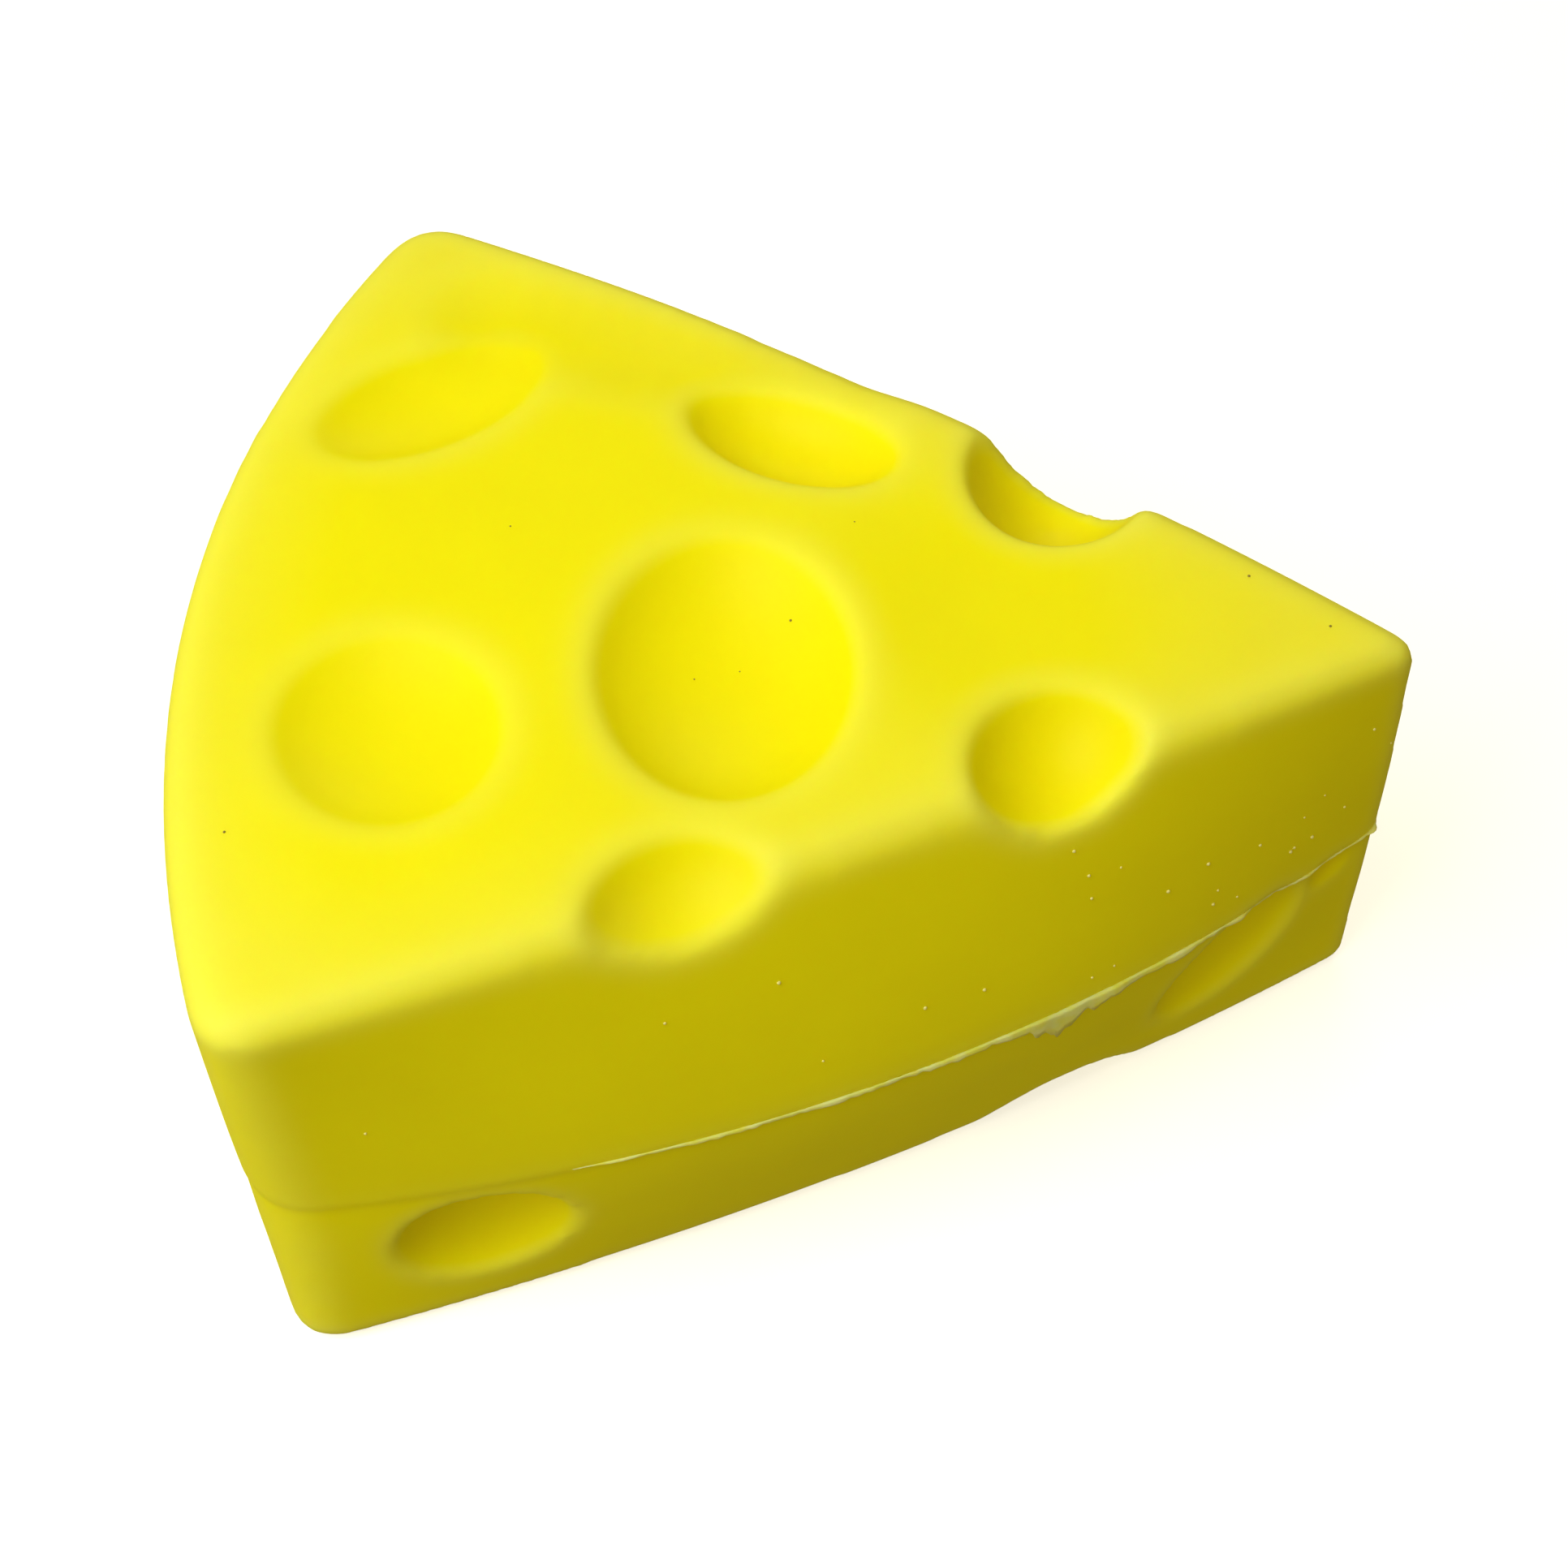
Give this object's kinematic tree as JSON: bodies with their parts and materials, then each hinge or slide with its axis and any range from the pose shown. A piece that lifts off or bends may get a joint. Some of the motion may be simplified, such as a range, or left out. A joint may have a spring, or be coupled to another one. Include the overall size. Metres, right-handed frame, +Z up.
{
  "type": "moulded toy cheese wedge",
  "caption": "Hand-sized soft rubber toy cheese wedge with a bowed rind, rounded rims, shallow round dimples and a mould parting line.",
  "frame": {"origin": "on the table, under the middle of the wedge's box", "axes": "+X from the bowed rind to the tip, +Y to the wedge's left side seen from the rind, +Z up"},
  "size_m": [0.0812, 0.0722, 0.0379],
  "materials": {
    "yellow_rubber": "soft satin-matte moulded thermoplastic rubber, opaque yellow with a faint translucency at thin edges"
  },
  "bodies": {
    "root": {"cheese_wedge": "yellow_rubber"}
  },
  "joints": []
}
